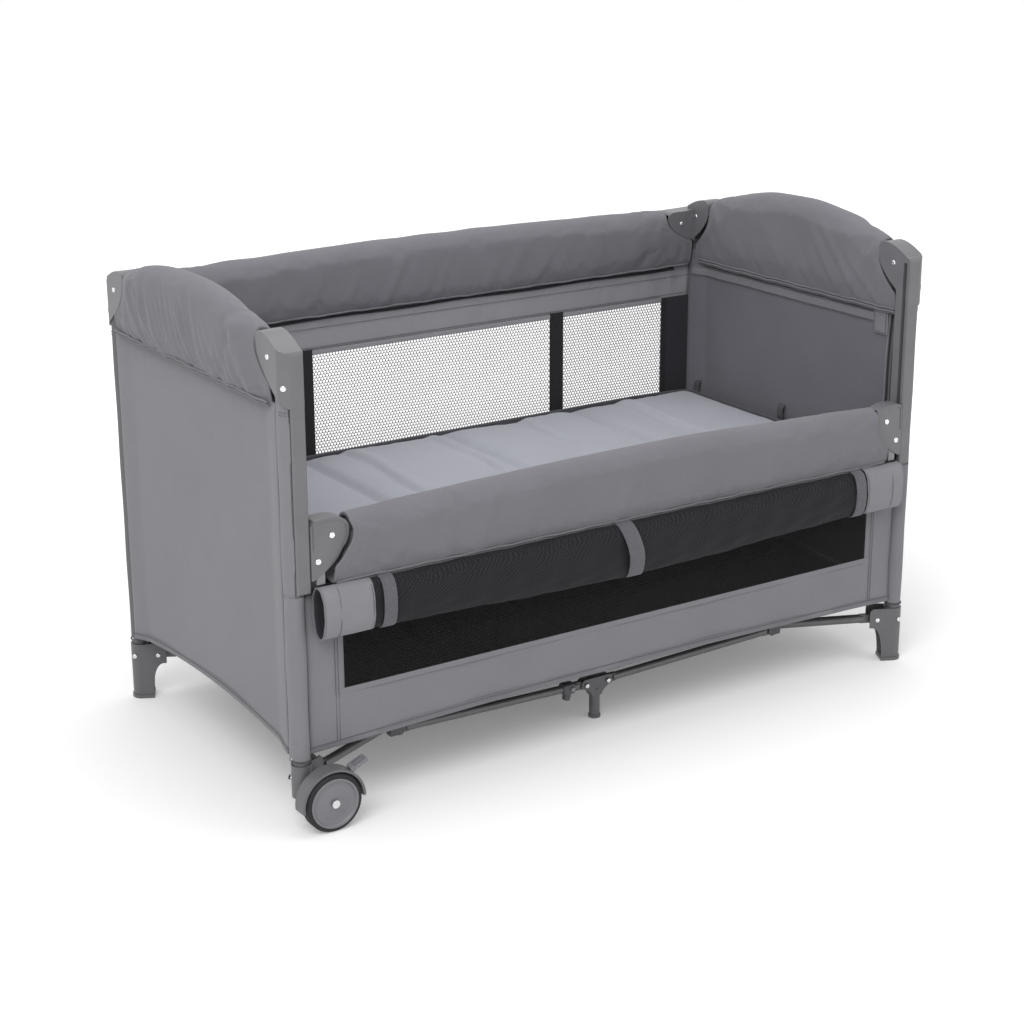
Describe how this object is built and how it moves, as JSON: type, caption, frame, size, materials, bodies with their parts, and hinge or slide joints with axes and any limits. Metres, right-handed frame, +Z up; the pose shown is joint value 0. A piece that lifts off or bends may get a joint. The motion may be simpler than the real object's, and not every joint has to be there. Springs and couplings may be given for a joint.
{
  "type": "folding travel cot",
  "caption": "Folding bedside travel cot with padded rails, mesh walls, raised mattress, lowering side and umbrella-fold base on wheels and feet.",
  "frame": {"origin": "on the floor, midway between the four corner posts", "axes": "+X along the cot towards its right end, -Y towards the lowered side, +Z up"},
  "size_m": [1.272, 0.709, 0.808],
  "materials": {
    "frame_tube": "satin grey powder coat on steel tube",
    "dark_plastic": "fine-grained dark grey moulding",
    "cap_plastic": "fine-grained mid grey moulding",
    "steel_pin": "bright zinc-plated steel",
    "wheel_plastic": "mid grey moulding",
    "tyre_rubber": "black soft rubber",
    "brake_plastic": "mid grey moulding",
    "button_plastic": "smooth grey moulding",
    "cover_fabric": "padded melange grey woven polyester with piped seams",
    "panel_fabric": "melange grey woven polyester",
    "net": "black mesh netting",
    "strap_webbing": "dark grey webbing",
    "floor_fabric": "dark grey woven polyester",
    "mattress_fabric": "blue-grey woven polyester over foam"
  },
  "bodies": {
    "hub": {"hub": "dark_plastic", "raised_floor": "floor_fabric", "lower_floor": "floor_fabric"},
    "diagonal_fl": {"diagonal_fl": "frame_tube"},
    "knuckle_fl": {"knuckle_fl": "dark_plastic"},
    "side_tube_fl": {"side_tube_fl": "frame_tube"},
    "corner_fl": {"post_fl": "frame_tube", "cap_fl": "cap_plastic", "wheel_housing_fl": "dark_plastic", "axle_fl": "steel_pin", "end_panel_left": "panel_fabric", "front_panel": "panel_fabric", "end_cover_left": "cover_fabric"},
    "diagonal_fr": {"diagonal_fr": "frame_tube"},
    "knuckle_fr": {"knuckle_fr": "dark_plastic"},
    "side_tube_fr": {"side_tube_fr": "frame_tube"},
    "corner_fr": {"post_fr": "frame_tube", "cap_fr": "cap_plastic", "foot_fr": "dark_plastic"},
    "diagonal_bl": {"diagonal_bl": "frame_tube"},
    "knuckle_bl": {"knuckle_bl": "dark_plastic"},
    "side_tube_bl": {"side_tube_bl": "frame_tube"},
    "corner_bl": {"post_bl": "frame_tube", "cap_bl": "cap_plastic", "foot_bl": "dark_plastic", "back_panel": "panel_fabric", "back_cover": "cover_fabric"},
    "diagonal_br": {"diagonal_br": "frame_tube"},
    "knuckle_br": {"knuckle_br": "dark_plastic"},
    "side_tube_br": {"side_tube_br": "frame_tube"},
    "corner_br": {"post_br": "frame_tube", "cap_br": "cap_plastic", "wheel_housing_br": "dark_plastic", "axle_br": "steel_pin", "end_panel_right": "panel_fabric", "end_cover_right": "cover_fabric"},
    "centre_foot_front": {"centre_foot_front": "dark_plastic"},
    "centre_foot_back": {"centre_foot_back": "dark_plastic"},
    "end_rail_lf": {"end_rail_lf": "frame_tube"},
    "end_rail_lb": {"end_rail_lb": "frame_tube"},
    "end_rail_rf": {"end_rail_rf": "frame_tube"},
    "end_rail_rb": {"end_rail_rb": "frame_tube"},
    "back_rail_l": {"back_rail_l": "frame_tube"},
    "front_rail_l": {"front_rail_l": "frame_tube"},
    "back_rail_r": {"back_rail_r": "frame_tube"},
    "front_rail_r": {"front_rail_r": "frame_tube"},
    "slider_left": {"slider_l": "cap_plastic", "front_cover": "cover_fabric", "net_roll": "net", "roll_straps": "strap_webbing"},
    "slider_right": {"slider_r": "cap_plastic"},
    "button_left": {"slider_button_l": "button_plastic"},
    "button_right": {"slider_button_r": "button_plastic"},
    "wheel_fl": {"wheel_fl": "wheel_plastic", "tyre_fl": "tyre_rubber"},
    "brake_fl": {"brake_fl": "brake_plastic"},
    "wheel_br": {"wheel_br": "wheel_plastic", "tyre_br": "tyre_rubber"},
    "brake_br": {"brake_br": "brake_plastic"},
    "mattress": {"mattress": "mattress_fabric"}
  },
  "joints": [
    {"name": "frame_fold", "type": "hinge", "parent": "corner_fl", "child": "diagonal_fl", "pos_m": [-0.57723, -0.28623, 0.079], "axis": [0.4442, -0.8959, 0], "range_deg": [0, 78], "deforming": ["end_cover_left", "end_cover_right", "back_cover", "front_cover", "end_panel_left", "end_panel_right", "back_panel", "front_panel", "net_roll", "roll_straps", "raised_floor", "lower_floor", "mattress"]},
    {"name": "hub_fold", "type": "hinge", "parent": "diagonal_fl", "child": "hub", "pos_m": [-0.02223, -0.01102, 0.06337], "axis": [0.4442, -0.8959, 0], "range_deg": [-78, 0]},
    {"name": "diagonal_fold_fr", "type": "hinge", "parent": "hub", "child": "diagonal_fr", "pos_m": [0.02223, -0.01102, 0.06337], "axis": [0.4442, 0.8959, 0], "range_deg": [0, 78]},
    {"name": "diagonal_fold_bl", "type": "hinge", "parent": "hub", "child": "diagonal_bl", "pos_m": [-0.02223, 0.01102, 0.06337], "axis": [-0.4442, -0.8959, 0], "range_deg": [0, 78]},
    {"name": "diagonal_fold_br", "type": "hinge", "parent": "hub", "child": "diagonal_br", "pos_m": [0.02223, 0.01102, 0.06337], "axis": [-0.4442, 0.8959, 0], "range_deg": [0, 78]},
    {"name": "knuckle_fold_fl", "type": "hinge", "parent": "diagonal_fl", "child": "knuckle_fl", "pos_m": [-0.388, -0.1924, 0.07367], "axis": [0.4442, -0.8959, 0], "range_deg": [-78, 0]},
    {"name": "foot_fold_fr", "type": "hinge", "parent": "diagonal_fr", "child": "corner_fr", "pos_m": [0.57723, -0.28623, 0.079], "axis": [0.4442, 0.8959, 0], "range_deg": [-78, 0]},
    {"name": "knuckle_fold_fr", "type": "hinge", "parent": "diagonal_fr", "child": "knuckle_fr", "pos_m": [0.388, -0.1924, 0.07367], "axis": [0.4442, 0.8959, 0], "range_deg": [-78, 0]},
    {"name": "foot_fold_bl", "type": "hinge", "parent": "diagonal_bl", "child": "corner_bl", "pos_m": [-0.57723, 0.28623, 0.079], "axis": [-0.4442, -0.8959, 0], "range_deg": [-78, 0]},
    {"name": "knuckle_fold_bl", "type": "hinge", "parent": "diagonal_bl", "child": "knuckle_bl", "pos_m": [-0.388, 0.1924, 0.07367], "axis": [-0.4442, -0.8959, 0], "range_deg": [-78, 0]},
    {"name": "foot_fold_br", "type": "hinge", "parent": "diagonal_br", "child": "corner_br", "pos_m": [0.57723, 0.28623, 0.079], "axis": [-0.4442, 0.8959, 0], "range_deg": [-78, 0]},
    {"name": "knuckle_fold_br", "type": "hinge", "parent": "diagonal_br", "child": "knuckle_br", "pos_m": [0.388, 0.1924, 0.07367], "axis": [-0.4442, 0.8959, 0], "range_deg": [-78, 0]},
    {"name": "side_tube_fold_fl", "type": "hinge", "parent": "knuckle_fl", "child": "side_tube_fl", "pos_m": [-0.388, -0.2164, 0.07367], "axis": [0, -1, 0], "range_deg": [0, 78]},
    {"name": "centre_foot_fold_front", "type": "hinge", "parent": "side_tube_fl", "child": "centre_foot_front", "pos_m": [-0.02223, -0.2164, 0.06445], "axis": [0, -1, 0], "range_deg": [-78, 0]},
    {"name": "side_tube_fold_fr", "type": "hinge", "parent": "centre_foot_front", "child": "side_tube_fr", "pos_m": [0.02223, -0.2164, 0.06445], "axis": [0, 1, 0], "range_deg": [0, 78]},
    {"name": "side_tube_fold_bl", "type": "hinge", "parent": "knuckle_bl", "child": "side_tube_bl", "pos_m": [-0.388, 0.2164, 0.07367], "axis": [0, -1, 0], "range_deg": [0, 78]},
    {"name": "centre_foot_fold_back", "type": "hinge", "parent": "side_tube_bl", "child": "centre_foot_back", "pos_m": [-0.02223, 0.2164, 0.06445], "axis": [0, -1, 0], "range_deg": [-78, 0]},
    {"name": "side_tube_fold_br", "type": "hinge", "parent": "centre_foot_back", "child": "side_tube_br", "pos_m": [0.02223, 0.2164, 0.06445], "axis": [0, 1, 0], "range_deg": [0, 78]},
    {"name": "end_rail_fold_lf", "type": "hinge", "parent": "corner_fl", "child": "end_rail_lf", "pos_m": [-0.61, -0.27521, 0.73], "axis": [-1, 0, 0], "range_deg": [0, 78]},
    {"name": "end_rail_fold_lb", "type": "hinge", "parent": "end_rail_lf", "child": "end_rail_lb", "pos_m": [-0.61, 0, 0.73694], "axis": [-1, 0, 0], "range_deg": [-156, 0]},
    {"name": "end_rail_fold_rf", "type": "hinge", "parent": "corner_fr", "child": "end_rail_rf", "pos_m": [0.61, -0.27521, 0.73], "axis": [-1, 0, 0], "range_deg": [0, 78]},
    {"name": "end_rail_fold_rb", "type": "hinge", "parent": "end_rail_rf", "child": "end_rail_rb", "pos_m": [0.61, 0, 0.73694], "axis": [-1, 0, 0], "range_deg": [-156, 0]},
    {"name": "back_rail_fold_l", "type": "hinge", "parent": "corner_bl", "child": "back_rail_l", "pos_m": [-0.555, 0.305, 0.718], "axis": [0, 1, 0], "range_deg": [0, 78]},
    {"name": "back_rail_fold_r", "type": "hinge", "parent": "back_rail_l", "child": "back_rail_r", "pos_m": [0, 0.305, 0.732], "axis": [0, 1, 0], "range_deg": [-156, 0]},
    {"name": "side_lift", "type": "slide", "parent": "corner_fl", "child": "slider_left", "axis": [0, 0, 1], "range_m": [0, 0.256]},
    {"name": "front_rail_fold_l", "type": "hinge", "parent": "slider_left", "child": "front_rail_l", "pos_m": [-0.555, -0.305, 0.462], "axis": [0, 1, 0], "range_deg": [0, 78]},
    {"name": "front_rail_fold_r", "type": "hinge", "parent": "front_rail_l", "child": "front_rail_r", "pos_m": [0, -0.305, 0.476], "axis": [0, 1, 0], "range_deg": [-156, 0]},
    {"name": "slider_fold_r", "type": "hinge", "parent": "front_rail_r", "child": "slider_right", "pos_m": [0.555, -0.305, 0.462], "axis": [0, 1, 0], "range_deg": [0, 78]},
    {"name": "release_left", "type": "slide", "parent": "slider_left", "child": "button_left", "axis": [0, 0, 1], "range_m": [0, 0.006], "stiffness_N_per_m": 400},
    {"name": "release_right", "type": "slide", "parent": "slider_right", "child": "button_right", "axis": [0, 0, 1], "range_m": [0, 0.006], "stiffness_N_per_m": 400},
    {"name": "wheel_spin_fl", "type": "hinge", "parent": "corner_fl", "child": "wheel_fl", "pos_m": [-0.576, -0.341, 0.047], "axis": [0, 1, 0], "continuous": true},
    {"name": "brake_press_fl", "type": "hinge", "parent": "corner_fl", "child": "brake_fl", "pos_m": [-0.54109, -0.341, 0.09506], "axis": [0, -1, 0], "range_deg": [0, 22]},
    {"name": "wheel_spin_br", "type": "hinge", "parent": "corner_br", "child": "wheel_br", "pos_m": [0.576, 0.341, 0.047], "axis": [0, 1, 0], "continuous": true},
    {"name": "brake_press_br", "type": "hinge", "parent": "corner_br", "child": "brake_br", "pos_m": [0.54109, 0.341, 0.09506], "axis": [0, 1, 0], "range_deg": [0, 22]},
    {"name": "mattress_lift", "type": "slide", "parent": "hub", "child": "mattress", "axis": [0, 0, 1], "range_m": [0, 0.5]}
  ],
  "couplings": [
    {"joint": "hub_fold", "follows": "frame_fold", "ratio": -1},
    {"joint": "diagonal_fold_fr", "follows": "frame_fold", "ratio": 1},
    {"joint": "diagonal_fold_bl", "follows": "frame_fold", "ratio": 1},
    {"joint": "diagonal_fold_br", "follows": "frame_fold", "ratio": 1},
    {"joint": "knuckle_fold_fl", "follows": "frame_fold", "ratio": -1},
    {"joint": "foot_fold_fr", "follows": "frame_fold", "ratio": -1},
    {"joint": "knuckle_fold_fr", "follows": "frame_fold", "ratio": -1},
    {"joint": "foot_fold_bl", "follows": "frame_fold", "ratio": -1},
    {"joint": "knuckle_fold_bl", "follows": "frame_fold", "ratio": -1},
    {"joint": "foot_fold_br", "follows": "frame_fold", "ratio": -1},
    {"joint": "knuckle_fold_br", "follows": "frame_fold", "ratio": -1},
    {"joint": "side_tube_fold_fl", "follows": "frame_fold", "ratio": 1},
    {"joint": "centre_foot_fold_front", "follows": "frame_fold", "ratio": -1},
    {"joint": "side_tube_fold_fr", "follows": "frame_fold", "ratio": 1},
    {"joint": "side_tube_fold_bl", "follows": "frame_fold", "ratio": 1},
    {"joint": "centre_foot_fold_back", "follows": "frame_fold", "ratio": -1},
    {"joint": "side_tube_fold_br", "follows": "frame_fold", "ratio": 1},
    {"joint": "end_rail_fold_lf", "follows": "frame_fold", "ratio": 1},
    {"joint": "end_rail_fold_lb", "follows": "frame_fold", "ratio": -2},
    {"joint": "end_rail_fold_rf", "follows": "frame_fold", "ratio": 1},
    {"joint": "end_rail_fold_rb", "follows": "frame_fold", "ratio": -2},
    {"joint": "back_rail_fold_l", "follows": "frame_fold", "ratio": 1},
    {"joint": "back_rail_fold_r", "follows": "frame_fold", "ratio": -2},
    {"joint": "front_rail_fold_l", "follows": "frame_fold", "ratio": 1},
    {"joint": "front_rail_fold_r", "follows": "frame_fold", "ratio": -2},
    {"joint": "slider_fold_r", "follows": "frame_fold", "ratio": 1}
  ]
}
